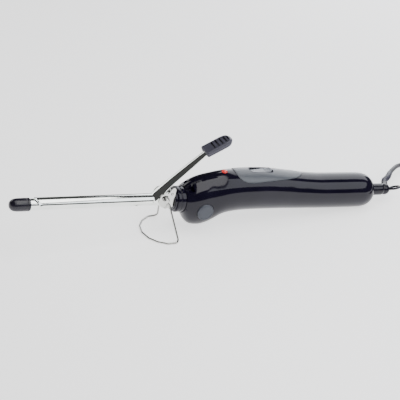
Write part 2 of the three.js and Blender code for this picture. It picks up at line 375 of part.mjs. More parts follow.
const ringProfile = [[COIL.r - COIL.hw, 0], [COIL.r + COIL.hw, 0], [COIL.r + COIL.hw, COIL.h], [COIL.r - COIL.hw, COIL.h], [COIL.r - COIL.hw, 0]];
const ringSolid = new THREE.LatheGeometry(ringProfile.map(([r, y]) => new THREE.Vector2(r, y)), 32).rotateX(Math.PI / 2).translate(COIL.x, COIL.y, 0);
add('mains_cord', sweep(spline(CORD_ROUTE), CORD_D / 2, 8, 32), 'cord', table);
// the coil is stepped where the lead runs on to it, and where it comes off the top
add('cord_coil', cut(ringSolid, box(COIL.x - 34, COIL.x, COIL.y + COIL.row - 2.5, COIL.y + 34, -1, 5.4), box(COIL.x + COIL.row - 2.5, COIL.x + 34, COIL.y - 34, COIL.y, COIL.top - 2.4, COIL.h + 1)), 'cord', table);
add('cord_tail', sweep(spline(TAIL_ROUTE), CORD_D / 2, 8, 20), 'cord', table);
const PLUG_X = 285 - GAP, PLUG_Y = BEND.y - BEND.r;   // face of the plug's neck, and its axis
add('plug_body', join(box(PLUG_X - 44, PLUG_X - 12, PLUG_Y - 13, PLUG_Y + 13, 0, 13.6), box(PLUG_X - 12.5, PLUG_X, PLUG_Y - 4.5, PLUG_Y + 4.5, 2.4, 11.2)), 'blackMatte', table);
add('plug_pin_1', rodX(2.0, PLUG_X - 63.3, PLUG_X - 44.3, PLUG_Y - 9.5, 6.8, 12), 'brass', table);
add('plug_pin_2', rodX(2.0, PLUG_X - 63.3, PLUG_X - 44.3, PLUG_Y + 9.5, 6.8, 12), 'brass', table);

const curling_iron = new THREE.Group();
curling_iron.add(iron, table);
curling_iron.updateMatrixWorld(true);
export default curling_iron;
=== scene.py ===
"""Look of the hair curling iron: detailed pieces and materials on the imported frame."""
import bpy, bmesh, math
from mathutils import Vector, Matrix


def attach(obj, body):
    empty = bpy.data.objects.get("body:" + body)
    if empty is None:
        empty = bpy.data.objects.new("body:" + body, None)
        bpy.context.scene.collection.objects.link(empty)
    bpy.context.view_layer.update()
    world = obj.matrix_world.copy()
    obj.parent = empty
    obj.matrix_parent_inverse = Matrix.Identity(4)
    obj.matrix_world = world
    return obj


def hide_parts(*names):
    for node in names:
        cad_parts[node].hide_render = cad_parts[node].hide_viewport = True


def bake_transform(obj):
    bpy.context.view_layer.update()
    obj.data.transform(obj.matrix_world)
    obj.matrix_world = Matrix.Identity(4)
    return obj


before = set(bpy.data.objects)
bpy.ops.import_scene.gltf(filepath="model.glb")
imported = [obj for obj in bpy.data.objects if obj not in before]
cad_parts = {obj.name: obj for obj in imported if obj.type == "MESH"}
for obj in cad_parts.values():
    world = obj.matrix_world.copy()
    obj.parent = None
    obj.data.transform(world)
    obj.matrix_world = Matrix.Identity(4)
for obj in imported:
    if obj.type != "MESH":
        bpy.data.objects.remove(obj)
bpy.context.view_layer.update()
MM = 0.001

# ------------------------------------------------------------ the iron's own frame
LEAN = math.radians(5.35)
FX, AZ = 27.2981, 29.1
cT, sT = math.cos(LEAN), math.sin(LEAN)


def row(p):
    """iron-local millimetres (x along the barrel, z up) to row metres"""
    x, y, z = p
    return Vector(((x * cT + z * sT - FX) * MM, y * MM, (AZ - x * sT + z * cT) * MM))


def dirw(l):
    return Vector((l[0] * cT + l[2] * sT, l[1], -l[0] * sT + l[2] * cT))


def tab(p):
    """table millimetres, x counted from the iron's origin"""
    return Vector(((p[0] - FX) * MM, p[1] * MM, p[2] * MM))


# ------------------------------------------------------------ camera
right, up = dirw((.8871, -.4142, .2039)).normalized(), dirw((.0351, .5010, .8647))
back = right.cross(up).normalized()
up = back.cross(right).normalized()
origin = row((0, 0, 0))
cam_data = bpy.data.cameras.new("camera")
cam = bpy.data.objects.new("camera", cam_data)
bpy.context.scene.collection.objects.link(cam)
cam_data.sensor_width = 36.0
cam_data.lens = 1395.35 / 400 * 36.0
cam_data.clip_start, cam_data.clip_end = 0.05, 20
cam.location = origin + back * 1.2 + right * 0.0086 - up * 0.001548
cam.rotation_mode = "QUATERNION"
cam.rotation_quaternion = Matrix((right, up, back)).transposed().to_quaternion()
bpy.context.scene.camera = cam


# ------------------------------------------------------------ mesh helpers
def link(name, me):
    ob = bpy.data.objects.new(name, me)
    bpy.context.scene.collection.objects.link(ob)
    return ob


def mesh(name, verts, faces, conv=row, smooth=True, angle=32):
    me = bpy.data.meshes.new(name)
    me.from_pydata([tuple(conv(v)) for v in verts], [], faces)
    me.validate()
    ob = link(name, me)
    tidy(ob, smooth, angle)
    return ob


def tidy(ob, smooth=True, angle=32, merge=True):
    bm = bmesh.new(); bm.from_mesh(ob.data)
    if merge:
        bmesh.ops.remove_doubles(bm, verts=bm.verts, dist=2e-6)
    bmesh.ops.dissolve_degenerate(bm, dist=1e-6, edges=bm.edges)
    bmesh.ops.recalc_face_normals(bm, faces=bm.faces)
    for f in bm.faces: f.smooth = smooth
    lim = math.radians(angle)
    for e in bm.edges:
        e.smooth = not (len(e.link_faces) == 2 and e.calc_face_angle(0) > lim)
    bm.to_mesh(ob.data); bm.free()
    ob.data.update()


def grid(rings, close_u=True, close_v=False):
    """faces of rows of points; close_u joins each row's ends, close_v the first and last rows"""
    n, m = len(rings[0]), len(rings)
    verts = [p for r in rings for p in r]
    faces = []
    for i in range(m if close_v else m - 1):
        for j in range(n if close_u else n - 1):
            a, b = i * n + j, i * n + (j + 1) % n
            k = ((i + 1) % m) * n
            faces.append((a, b, k + (j + 1) % n, k + j))
    return verts, faces


def capped(rings):
    verts, faces = grid(rings)
    n = len(rings[0])
    faces.append(tuple(range(n))); faces.append(tuple(range(len(verts) - n, len(verts)))[::-1])
    return verts, faces


def fine(profile, step=0.35, rnd=0.0):
    """profile points with corners rounded by rnd; step is not used"""
    out = []
    P = [Vector(p) for p in profile]
    for i, p in enumerate(P):
        if 0 < i < len(P) - 1 and rnd > 0:
            a, b = P[i - 1] - p, P[i + 1] - p
            t = min(rnd, a.length * .45, b.length * .45)
            s, e = p + a.normalized() * t, p + b.normalized() * t
            for k in range(5):
                u = k / 4
                out.append(s * (1 - u) ** 2 + p * 2 * u * (1 - u) + e * u * u)
        else:
            out.append(p)
    return out


def lathe(name, profile, seg=72, y=0.0, z=0.0, rnd=0.25, axis="x", at=(0, 0, 0), conv=row, angle=40, closed=False):
    """profile of [radius, along]; the axis is x, y or z of the iron, through (y, z) or at"""
    pts = fine(profile, rnd=rnd)
    rings = []
    for r, a in pts:
        r = max(r, 0.0)
        ring = []
        for j in range(seg):
            f = j / seg * 2 * math.pi
            u, v = r * math.cos(f), r * math.sin(f)
            if axis == "x": ring.append((a, y + u, z + v))
            elif axis == "y": ring.append((at[0] + v, a, at[2] + u))
            else: ring.append((at[0] + u, at[1] + v, a))
        rings.append(ring)
    v, f = grid(rings, True, closed)
    return mesh(name, v, f, conv, True, angle)


def frames(pts):
    """rotation-minimising frames along a line of points"""
    T = []
    for i in range(len(pts)):
        a, b = pts[max(i - 1, 0)], pts[min(i + 1, len(pts) - 1)]
        T.append((b - a).normalized())
    n = T[0].orthogonal().normalized()
    out = []
    for i, t in enumerate(T):
        n = (n - t * n.dot(t)).normalized()
        out.append((t, n, t.cross(n)))
    return out


def tube(name, pts, r, sides=16, closed=False, angle=40, rfun=None, ends=True):
    """tube of radius r (metres) along row points; round ends"""
    P = [Vector(p) for p in pts]
    F = frames(P)
    rings = []
    for i, (p, (t, n, b)) in enumerate(zip(P, F)):
        q = rfun(i) if rfun else r
        rings.append([p + (n * math.cos(2 * math.pi * k / sides) + b * math.sin(2 * math.pi * k / sides)) * q for k in range(sides)])
    if closed:
        v, f = grid(rings, True, True)
    elif ends:
        t0, t1 = F[0][0], F[-1][0]
        q0, q1 = (rfun(0) if rfun else r), (rfun(len(P) - 1) if rfun else r)
        pre = [[P[0] + (x - P[0]) * s - t0 * q0 * 0 for x in rings[0]] for s in (0.0001, 0.8)]
        post = [[P[-1] + (x - P[-1]) * s for x in rings[-1]] for s in (0.8, 0.0001)]
        v, f = grid(pre + rings + post)
    else:
        v, f = grid(rings)
    return mesh(name, v, f, lambda p: p, True, angle)


def catmull(pts, per=10, closed=False):
    P = [Vector(p) for p in pts]
    out, n = [], len(P)
    for i in range(n if closed else n - 1):
        if closed: a, b, c, d = P[(i - 1) % n], P[i], P[(i + 1) % n], P[(i + 2) % n]
        else:
            b, c = P[i], P[i + 1]
            a = P[i - 1] if i else b * 2 - c
            d = P[i + 2] if i + 2 < n else c * 2 - b
        t0, t1 = 0, max((b - a).length, 1e-9) ** .5
        t2 = t1 + max((c - b).length, 1e-9) ** .5
        t3 = t2 + max((d - c).length, 1e-9) ** .5
        for k in range(per):
            t = t1 + (t2 - t1) * k / per
            A1 = a * ((t1 - t) / (t1 - t0)) + b * ((t - t0) / (t1 - t0))
            A2 = b * ((t2 - t) / (t2 - t1)) + c * ((t - t1) / (t2 - t1))
            A3 = c * ((t3 - t) / (t3 - t2)) + d * ((t - t2) / (t3 - t2))
            B1 = A1 * ((t2 - t) / (t2 - t0)) + A2 * ((t - t0) / (t2 - t0))
            B2 = A2 * ((t3 - t) / (t3 - t1)) + A3 * ((t - t1) / (t3 - t1))
            out.append(B1 * ((t2 - t) / (t2 - t1)) + B2 * ((t - t1) / (t2 - t1)))
    if not closed: out.append(P[-1])
    return out


def resample(pts, step):
    out, acc = [pts[0]], 0.0
    for a, b in zip(pts, pts[1:]):
        L = (b - a).length
        while L > 0 and acc + L >= step:
            q = (step - acc) / L
            a = a + (b - a) * q
            out.append(a); L = (b - a).length; acc = 0.0
        acc += L
    if (out[-1] - pts[-1]).length > step * .3: out.append(pts[-1])
    else: out[-1] = pts[-1]
    return out


def boolean(ob, tool, op="DIFFERENCE", remove=True):
    m = ob.modifiers.new("b", "BOOLEAN")
    m.operation, m.object, m.solver = op, tool, "EXACT"
    dg = bpy.context.evaluated_depsgraph_get()
    me = bpy.data.meshes.new_from_object(ob.evaluated_get(dg))
    ob.modifiers.remove(m)
    old = ob.data; ob.data = me; me.name = ob.name; bpy.data.meshes.remove(old)
    if remove: bpy.data.objects.remove(tool, do_unlink=True)


def bevel(ob, width, seg=3, angle=30):
    m = ob.modifiers.new("v", "BEVEL")
    m.width, m.segments, m.limit_method, m.angle_limit = width, seg, "ANGLE", math.radians(angle)
    m.harden_normals = False
    dg = bpy.context.evaluated_depsgraph_get()
    me = bpy.data.meshes.new_from_object(ob.evaluated_get(dg))
    ob.modifiers.remove(m)
    old = ob.data; ob.data = me; me.name = ob.name; bpy.data.meshes.remove(old)
    tidy(ob, True, 50)


def prism_xz(name, pts, y0, y1, conv=row):
    n = len(pts)
    v = [(x, y0, z) for x, z in pts] + [(x, y1, z) for x, z in pts]
    f = [tuple(range(n)), tuple(range(n, 2 * n))[::-1]] + [(i, (i + 1) % n, n + (i + 1) % n, n + i) for i in range(n)]
    return mesh(name, v, f, conv, False)


def prism_xy(name, pts, z0, z1, conv=row):
    n = len(pts)
    v = [(x, y, z0) for x, y in pts] + [(x, y, z1) for x, y in pts]
    f = [tuple(range(n)), tuple(range(n, 2 * n))[::-1]] + [(i, (i + 1) % n, n + (i + 1) % n, n + i) for i in range(n)]
    return mesh(name, v, f, conv, False)


def boxy(name, x0, x1, y0, y1, z0, z1, conv=row):
    return prism_xy(name, [(x0, y0), (x1, y0), (x1, y1), (x0, y1)], z0, z1, conv)


def merge(name, *obs):
    bm = bmesh.new()
    for o in obs:
        bm.from_mesh(o.data)
    me = bpy.data.meshes.new(name); bm.to_mesh(me); bm.free()
    for o in obs: bpy.data.objects.remove(o, do_unlink=True)
    return link(name, me)


# ------------------------------------------------------------ materials
def nt(name):
    m = bpy.data.materials.new(name); m.use_nodes = True
    t = m.node_tree; b = t.nodes["Principled BSDF"]
    return m, t, b


def noise(t, scale, detail=4, rough=.5, stretch=None):
    n = t.nodes.new("ShaderNodeTexNoise")
    n.inputs["Scale"].default_value, n.inputs["Detail"].default_value, n.inputs["Roughness"].default_value = scale, detail, rough
    c = t.nodes.new("ShaderNodeTexCoord")
    if stretch:
        mp = t.nodes.new("ShaderNodeMapping"); mp.inputs["Scale"].default_value = stretch
        t.links.new(c.outputs["Object"], mp.inputs["Vector"]); t.links.new(mp.outputs["Vector"], n.inputs["Vector"])
    else:
        t.links.new(c.outputs["Object"], n.inputs["Vector"])
    return n.outputs["Fac"]


def span(t, fac, a, b, lo=.3, hi=.7):
    r = t.nodes.new("ShaderNodeMapRange")
    r.inputs["From Min"].default_value, r.inputs["From Max"].default_value = lo, hi
    r.inputs["To Min"].default_value, r.inputs["To Max"].default_value = a, b
    t.links.new(fac, r.inputs["Value"]); return r.outputs["Result"]


def two(t, fac, a, b, lo=.35, hi=.65):
    r = t.nodes.new("ShaderNodeValToRGB")
    r.color_ramp.elements[0].position, r.color_ramp.elements[1].position = lo, hi
    r.color_ramp.elements[0].color, r.color_ramp.elements[1].color = (*a, 1), (*b, 1)
    t.links.new(fac, r.inputs["Fac"]); return r.outputs["Color"]


def bump(t, b, fac, strength, dist):
    n = t.nodes.new("ShaderNodeBump")
    n.inputs["Strength"].default_value, n.inputs["Distance"].default_value = strength, dist
    t.links.new(fac, n.inputs["Height"]); t.links.new(n.outputs["Normal"], b.inputs["Normal"])


def plastic(name, a, b_, rough=(.1, .16), ior=1.45, grain=None, coat=0.0):
    m, t, b = nt(name)
    t.links.new(two(t, noise(t, 45, 3), a, b_), b.inputs["Base Color"])
    t.links.new(span(t, noise(t, 130, 6, .6), *rough), b.inputs["Roughness"])
    b.inputs["IOR"].default_value = ior
    if coat:
        b.inputs["Coat Weight"].default_value = coat; b.inputs["Coat Roughness"].default_value = .05
    if grain: bump(t, b, noise(t, grain[0], 5, .6), grain[1], grain[2])
    return m


def metal(name, a, b_, rough=(.08, .14), stretch=None, scale=300, strength=.03):
    m, t, b = nt(name)
    b.inputs["Metallic"].default_value = 1
    t.links.new(two(t, noise(t, 60, 4), a, b_), b.inputs["Base Color"])
    f = noise(t, scale, 5, .6, stretch)
    t.links.new(span(t, f, *rough), b.inputs["Roughness"])
    bump(t, b, f, strength, .0002)
    return m


M = {}
M["gloss"] = plastic("gloss_black", (.0036, .0028, .0090), (.0056, .0044, .0125), (.06, .11), 1.37, (900, .02, .0001))
M["tip"] = plastic("tip_black", (.008, .007, .014), (.012, .010, .019), (.20, .30), 1.44, (1500, .05, .0001))
M["matte"] = plastic("matte_black", (.036, .035, .052), (.048, .047, .066), (.36, .48), 1.42, (2600, .16, .0001))
M["panel"] = plastic("panel_grey", (.062, .068, .080), (.074, .081, .094), (.28, .36), 1.5, (3000, .12, .0001))
M["rocker"] = plastic("rocker_grey", (.20, .21, .235), (.24, .25, .275), (.24, .32), 1.5, (2600, .08, .0001))
M["slate"] = plastic("slate", (.026, .031, .046), (.034, .040, .056), (.30, .38), 1.5, (2400, .10, .0001))
M["white"] = plastic("white_moulding", (.70, .69, .65), (.76, .75, .71), (.4, .5), 1.5, (900, .1, .0001))
M["ceramic"] = plastic("ceramic", (.66, .63, .58), (.78, .76, .71), (.6, .8), 1.5, (1200, .25, .0002))
M["mica"] = plastic("mica", (.50, .42, .28), (.68, .60, .42), (.35, .6), 1.55, (500, .2, .0002))
M["board"] = plastic("board", (.02, .11, .045), (.03, .15, .06), (.35, .5), 1.5, (800, .1, .0001))
M["cord"] = plastic("cord_pvc", (.050, .050, .058), (.068, .068, .076), (.40, .52), 1.4, (1800, .14, .0001))
M["wire"] = plastic("lead_sleeve", (.30, .12, .04), (.42, .18, .07), (.4, .5), 1.5, (900, .1, .0001))
M["chrome"] = metal("chrome", (.80, .83, .80), (.87, .89, .86), (.05, .10), (1, 30, 30), 40, .02)
M["steel"] = metal("steel", (.52, .52, .50), (.62, .62, .60), (.14, .26), (1, 6, 6), 200, .08)
M["wire_steel"] = metal("wire_steel", (.30, .30, .285), (.40, .40, .385), (.14, .26), None, 400, .05)
M["dark_steel"] = metal("spring_steel", (.34, .34, .33), (.46, .46, .44), (.22, .36), None, 500, .1)
M["brass"] = metal("brass", (.66, .47, .17), (.78, .58, .24), (.16, .28), None, 300, .06)
m_, t_, b_ = nt("red_lens")
t_.links.new(two(t_, noise(t_, 300, 3), (.62, .020, .018), (.78, .040, .030)), b_.inputs["Base Color"])
t_.links.new(span(t_, noise(t_, 500, 4), .08, .16), b_.inputs["Roughness"])
b_.inputs["Emission Color"].default_value = (1, .04, .03, 1)
b_.inputs["Emission Strength"].default_value = .22
b_.inputs["Transmission Weight"].default_value = .10
b_.inputs["Subsurface Weight"].default_value = .35
b_.inputs["Subsurface Radius"].default_value = (.004, .001, .001)
M["lens"] = m_


def dress(ob, mat, body, slot, *nodes):
    ob.data.materials.clear(); ob.data.materials.append(M[mat])
    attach(ob, body)
    if nodes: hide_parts(*nodes)
    return ob


# ------------------------------------------------------------ mains lead (first, as the camera is)
BALL = (201.2, 0, 2.0)
EXIT = Vector((.52, .85, .12)).normalized()
SW_Z = 2.0
CORD_R, LEAD, GAP = 2.1, 1800.0, 0.3


def totab(p):
    x, y, z = p
    return Vector((x * cT + z * sT, y, AZ - x * sT + z * cT))


ex = totab(Vector(BALL) + EXIT * 9.3)
ed = Vector((EXIT[0] * cT + EXIT[2] * sT, EXIT[1], -EXIT[0] * sT + EXIT[2] * cT))
CO = {"x": 280.5, "y": 5.0, "row": 27.7}
route = [ex, ex + ed * 5, Vector((213.6, 15.8, 13.9)), Vector((222.9, 25.4, 13.1)), Vector((233.5, 34.6, 11.4)), Vector((241.2, 40.6, 9.4)),
         Vector((249.6, 44.3, 7.4)), Vector((259.4, 43.5, 5.2)), Vector((266.3, 39.1, 3.6)), Vector((273.2, 34.2, 2.5)), Vector((277, 33.0, 2.16)),
         Vector((CO["x"], CO["y"] + CO["row"], 2.13))]
run = catmull(route, 12)
TURN = {"x": CO["x"] + CO["row"] - 17, "y": -24, "r": 17}
tail = catmull([Vector(p) for p in [(CO["x"] + CO["row"], CO["y"], 14.73), (CO["x"] + CO["row"], -4.5, 14.73), (CO["x"] + CO["row"], -13.5, 14.3), (CO["x"] + CO["row"], -22.5, 12.6)]
                + [(TURN["x"] + 17 * math.cos(math.radians(d)), TURN["y"] - 17 * math.sin(math.radians(d)), z) for d, z in ((30, 10.7), (60, 8.8), (90, 7.4))]
                + [(288, TURN["y"] - 17, 6.95), (284.3, TURN["y"] - 17, 6.83)]], 10)


def length(pts): return sum((b - a).length for a, b in zip(pts, pts[1:]))


def winding(grow):
    """twelve turns in four layers of three, a diameter apart; each turn holds its radius and
    steps to the next in its last fifth. It starts at the top of the first turn and ends a
    quarter of the way round the last one"""
    cols = [CO["row"] + grow * k for k in (0, 1, 2)]
    cols = [CO["row"], CO["row"] - 4.2 - grow, CO["row"] - 8.4 - 2 * grow]
    seq = []
    for layer in range(4):
        for c in (cols if layer % 2 == 0 else cols[::-1]): seq.append((c, 2.13 + 4.2 * layer))
    out, N = [], 72
    for k in range(12):
        r0, z0 = seq[k]
        r1, z1 = seq[k + 1] if k < 11 else seq[k]
        for i in range(N):
            if k == 11 and i > N // 4: return out
            t = i / N
            u = 0.0 if t < .8 else (t - .8) / .2
            u = u * u * (3 - 2 * u)
            a = math.pi / 2 - t * 2 * math.pi
            r = r0 + (r1 - r0) * u
            out.append(Vector((CO["x"] + r * math.cos(a), CO["y"] + r * math.sin(a), z0 + (z1 - z0) * u)))
    return out


turns = winding(0.0)
line = run[:-1] + turns[:-1] + tail
print("CORD length", round(length(line), 1))
cord_pts = [tab(p) for p in resample(line, 2.0)]
cord = tube("mains_lead", cord_pts, CORD_R * MM, 16)
cord.data.materials.append(M["cord"])
cord.data.materials.clear(); cord.data.materials.append(M["cord"])
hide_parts("mains_cord", "cord_coil", "cord_tail")

# tapered relief with rings, round the lead where it leaves the swivel
rel = resample(run, 0.6)[:40]
relief = tube("strain_relief", [tab(p) for p in rel], 0.003, 28,
              rfun=lambda i: (3.0 - .62 * i / 39 + (.12 if (i // 3) % 2 else -.05) * (1 if 6 < i < 37 else 0)) * MM, angle=60)

# tie round the coil
tie_a = math.radians(200)
ca, sa = math.cos(tie_a), math.sin(tie_a)
sec = [(CO["row"] + 2.9, .75), (CO["row"] + 2.9, 8.4), (CO["row"] + 2.5, 16.6), (CO["row"] - .5, 17.9), (CO["row"] - 8, 17.9),
       (CO["row"] - 10.9, 16.6), (CO["row"] - 11.3, 8.4), (CO["row"] - 10.9, .75), (CO["row"] - 4.2, .1)]
tie_line = catmull([Vector((CO["x"] + r * ca, CO["y"] + r * sa, max(z, .75))) for r, z in sec], 8, True)
rings = []
for p in tie_line:
    rad = Vector((ca, sa, 0)); side = Vector((-sa, ca, 0))
    c = Vector((CO["x"] + (CO["row"] - 4.2) * ca, CO["y"] + (CO["row"] - 4.2) * sa, 8.6))
    o = (p - c).normalized()
    rings.append([p + side * u * 2.6 + o * v * .45 for u, v in ((-1, -.6), (-1, .6), (-.7, 1), (0, 1.1), (.7, 1), (1, .6), (1, -.6), (0, -1))])
v, f = grid(rings, True, True)
tie = mesh("cord_tie", v, f, tab, True, 50)
dress(tie, "matte", "handle", "matte_black")

# plug: rounded body, waisted grip, ribbed neck
px, py = 0.0, 0.0
PX, PY = 285 - GAP, TURN["y"] - 17


def plugside(p):
    """the plug is drawn along -y from its neck, and laid along -x"""
    return tab((PX + p[1], PY - p[0], p[2]))


def rrect(w, h, e=3.2, n=48):
    out = []
    for k in range(n):
        a = k / n * 2 * math.pi
        c, s_ = math.cos(a), math.sin(a)
        out.append((w * math.copysign(abs(c) ** (2 / e), c), h * math.copysign(abs(s_) ** (2 / e), s_)))
    return out


st = [(0.02, 2.5, 2.5, 2), (0, 3.0, 3.0, 2), (-2, 3.3, 3.3, 2), (-11, 4.2, 4.1, 2), (-13, 6.0, 4.6, 2.4), (-17, 10.4, 6.1, 3), (-22, 12.0, 6.6, 3.4), (-29, 11.4, 6.3, 3.6),
      (-36, 12.4, 6.7, 4), (-42, 12.9, 6.79, 5), (-43.4, 12.7, 6.7, 5), (-44, 11.9, 6.0, 5), (-44, .01, .01, 5)]
rows, fineS = [], []
for a_, b_2 in zip(st, st[1:]):
    n_ = max(1, int(abs(a_[0] - b_2[0]) / .8))
    for k in range(n_):
        u = k / n_; fineS.append([a_[i] + (b_2[i] - a_[i]) * u for i in range(4)])
fineS.append(list(st[-1]))
for y_, w_, h_, e_ in fineS:
    rib = .35 if -10.5 < y_ < -2.5 and int(abs(y_) / 1.6) % 2 else 0
    zc = 6.83 if y_ > -13 else 6.8
    rows.append([(px + a1 * (w_ - rib) / w_, py + y_, zc + b1 * (h_ - rib) / h_) for a1, b1 in rrect(w_, h_, e_)])
v, f = grid(rows)
plug = mesh("mains_plug", v, f, plugside, True, 40)
dress(plug, "matte", "handle", "matte_black", "plug_body")
pins = []
for k, s_ in ((1, -1), (2, 1)):
    pin = lathe(f"plug_contact_{k}", [[0, py - 63.2], [1.2, py - 63.1], [1.9, py - 62.2], [2.0, py - 61], [2.0, py - 44.2]], 40, axis="y", at=(px + 9.5 * s_, 0, 6.8), conv=plugside)
    dress(pin, "brass", "handle", "brass", f"plug_pin_{k}")
    sl = lathe(f"plug_sleeve_{k}", [[1.9, py - 54], [2.12, py - 54], [2.12, py - 44.1], [1.9, py - 44.1]], 40, axis="y", at=(px + 9.5 * s_, 0, 6.8), conv=plugside, closed=True)
    dress(sl, "matte", "handle", "matte_black")
    pins += [pin, sl]
relief.data.materials.clear(); relief.data.materials.append(M["matte"])
for piece in (cord, relief):
    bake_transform(piece)

# ------------------------------------------------------------ handle
HANDLE = [
    (-8.6, 12.4, -12.2, 12.0), (-7.6, 13.2, -13.4, 12.7), (-5.6, 14.9, -16.4, 13.5), (-3.0, 16.9, -20.0, 14.3),
    (0.5, 19.1, -23.0, 15.1), (5.0, 21.0, -24.2, 15.8), (10, 22.5, -24.4, 16.1), (15.5, 23.6, -22.9, 16.2),
    (21, 24.6, -20.0, 16.3), (26, 25.3, -16.5, 16.4), (32, 25.9, -13.8, 16.5), (38, 26.2, -12.5, 16.6),
    (45, 26.5, -11.7, 16.6), (53, 26.6, -11.3, 16.7), (62, 26.5, -11.2, 16.7), (70, 26.1, -11.3, 16.6),
    (78, 25.2, -11.4, 16.5), (86, 24.1, -11.5, 16.3), (95, 22.9, -11.8, 16.0), (105, 21.7, -12.1, 15.9),
    (116, 20.5, -12.4, 15.7), (128, 19.6, -12.8, 15.6), (140, 19.3, -13.1, 15.5), (152, 19.1, -13.3, 15.5),
    (163, 18.9, -13.5, 15.4), (171, 18.5, -13.4, 15.3), (176.5, 17.4, -12.7, 14.5), (180.5, 15.3, -11.0, 12.8),
    (183.4, 12.3, -8.4, 10.1), (184.7, 9.4, -5.6, 7.4), (185.0, 7.0, -3.4, 5.2)]


def smooth_rows(step=1.5):
    """monotone cubic through the stations"""
    X = [h[0] for h in HANDLE]; out = []
    D = []
    for k in range(1, 4):
        Y = [h[k] for h in HANDLE]
        sl = [(Y[i + 1] - Y[i]) / (X[i + 1] - X[i]) for i in range(len(X) - 1)]
        d = [sl[0]]
        for i in range(1, len(X) - 1):
            if sl[i - 1] * sl[i] <= 0: d.append((sl[i - 1] + sl[i]) / 2 if abs(sl[i - 1] + sl[i]) < .3 else 0.0)
            else:
                w1, w2 = 2 * (X[i + 1] - X[i]) + X[i] - X[i - 1], X[i + 1] - X[i] + 2 * (X[i] - X[i - 1])
                d.append((w1 + w2) / (w1 / sl[i - 1] + w2 / sl[i]))
        d.append(sl[-1]); D.append((Y, d))
    for i in range(len(X) - 1):
        h = X[i + 1] - X[i]; n = max(2, int(h / step + .5))
        for j in range(n):
            t = j / n; r = [X[i] + h * t]
            for Y, d in D:
                r.append(Y[i] * (2 * t ** 3 - 3 * t * t + 1) + h * d[i] * (t ** 3 - 2 * t * t + t) + Y[i + 1] * (3 * t * t - 2 * t ** 3) + h * d[i + 1] * (t ** 3 - t * t))
            out.append(r)
    out.append(list(HANDLE[-1])); return out


ROWS = smooth_rows()


def at_x(x):
    for a, b in zip(ROWS, ROWS[1:]):
        if b[0] >= x:
            t = (x - a[0]) / (b[0] - a[0]); return [a[i] + (b[i] - a[i]) * t for i in range(4)]
    return ROWS[-1]


def section(h, off, sides):
    x, t, b, a = h
    c, rz, ry = (t + b) / 2, max((t - b) / 2 - off, .4), max(a - off, .4)
    return [(x, ry * math.sin(2 * math.pi * (j + .5) / sides), c + rz * math.cos(2 * math.pi * (j + .5) / sides)) for j in range(sides)]


def body(name, off, x0, x1, sides):
    rows = [r for r in ROWS if x0 + .05 < r[0] < x1 - .05]
    rings = [section(r, off, sides) for r in [at_x(x0)] + rows + [at_x(x1)]]
    v, f = capped(rings)
    return mesh(name, v, f)


def top_z(x, y, off=0.0):
    _, t, b, a = at_x(x)
    c, rz, ry = (t + b) / 2, (t - b) / 2 - off, a - off
    return c + rz * math.sqrt(max(0, 1 - (y / ry) ** 2))


TEAR = [(36.6, 0), (36.9, 3.8), (38.2, 7.5), (40.8, 10.2), (45, 11.7), (51, 12.3), (58, 12.2), (68, 11.5), (80, 10.1), (92, 8.1), (100, 6.0), (103.6, 3.8), (104.9, 1.6), (105.1, 0)]


def tear(g, n=7):
    half = TEAR + [(x, -y) for x, y in TEAR[1:-1][::-1]]
    P = catmull([Vector((x, y, 0)) for x, y in half], n, True)
    out = []
    for i, p in enumerate(P):
        t = (P[(i + 1) % len(P)] - P[i - 1]).normalized()
        nrm = Vector((-t.y, t.x, 0))
        if nrm.dot(p - Vector((62, 0, 0))) < 0: nrm = -nrm
        out.append(p - nrm * g)
    return out


def pillow(name, g, lift, depth, edge=0.0, rings_=10):
    """plate on the top of the handle with the teardrop outline shrunk by g, its face
    lifted off the skin, its rim rounded by edge"""
    rim = tear(g)
    c = Vector((64, 0, 0)); rows = []
    prof = [(.02, lift)] + [(k / rings_, lift) for k in range(1, rings_)] 
    for s, l in prof:
        rows.append([(c.x + (p.x - c.x) * s, (p.y) * s, top_z(c.x + (p.x - c.x) * s, p.y * s) + l) for p in rim])
    if edge:
        R = tear(g + edge)
        for k in range(6):
            a = k / 5 * math.pi / 2
            q = tear(g + edge * (1 - math.sin(a)))
            rows.append([(p.x, p.y, top_z(p.x, p.y) + lift - edge * (1 - math.cos(a))) for p in q])
    else:
        rows.append([(p.x, p.y, top_z(p.x, p.y) + lift) for p in rim])
    rows.append([(p.x, p.y, top_z(p.x, p.y) - depth) for p in rim])
    rows += [[(c.x + (p.x - c.x) * s, p.y * s, top_z(c.x + (p.x - c.x) * s, p.y * s) - depth) for p in rim] for s in (.6, .02)]
    v, f = grid(rows)
    n = len(rim)
    f.append(tuple(range(n))); f.append(tuple(range(len(v) - n, len(v)))[::-1])
    return mesh(name, v, f, row, True, 35)


COLLAR_R = 11.3
shell = body("handle_body", 0, -8.6, 185, 96)
boolean(shell, body("inner", 2.3, 4.0, 180, 48))
boolean(shell, lathe("t1", [[0, -12], [COLLAR_R + .3, -12], [COLLAR_R + .3, 9.4], [0, 9.4]], 72, rnd=0))
for s_ in (-1, 1):
    pts = [(-14, s_ * 3.2), (-3.6, s_ * 3.2), (-2.7, s_ * 3.7), (-2.3, s_ * 4.6), (-2.3, s_ * 9.8), (-14, s_ * 9.8)]
    boolean(shell, prism_xy("t2", pts if s_ > 0 else pts[::-1], 10.6, 30))
boolean(shell, lathe("t3", [[0, 176], [5.9, 176], [5.9, 188], [0, 188]], 48, z=SW_Z, rnd=0))
boolean(shell, pillow("t4", -.28, 3.0, 1.7))
boolean(shell, boxy("t5", 49, 78, -6.6, 6.6, 16, 30))
boolean(shell, lathe("t6", [[0, 14], [2.75, 14], [2.75, 34], [0, 34]], 48, axis="z", at=(27.6, 0, 0), rnd=0))
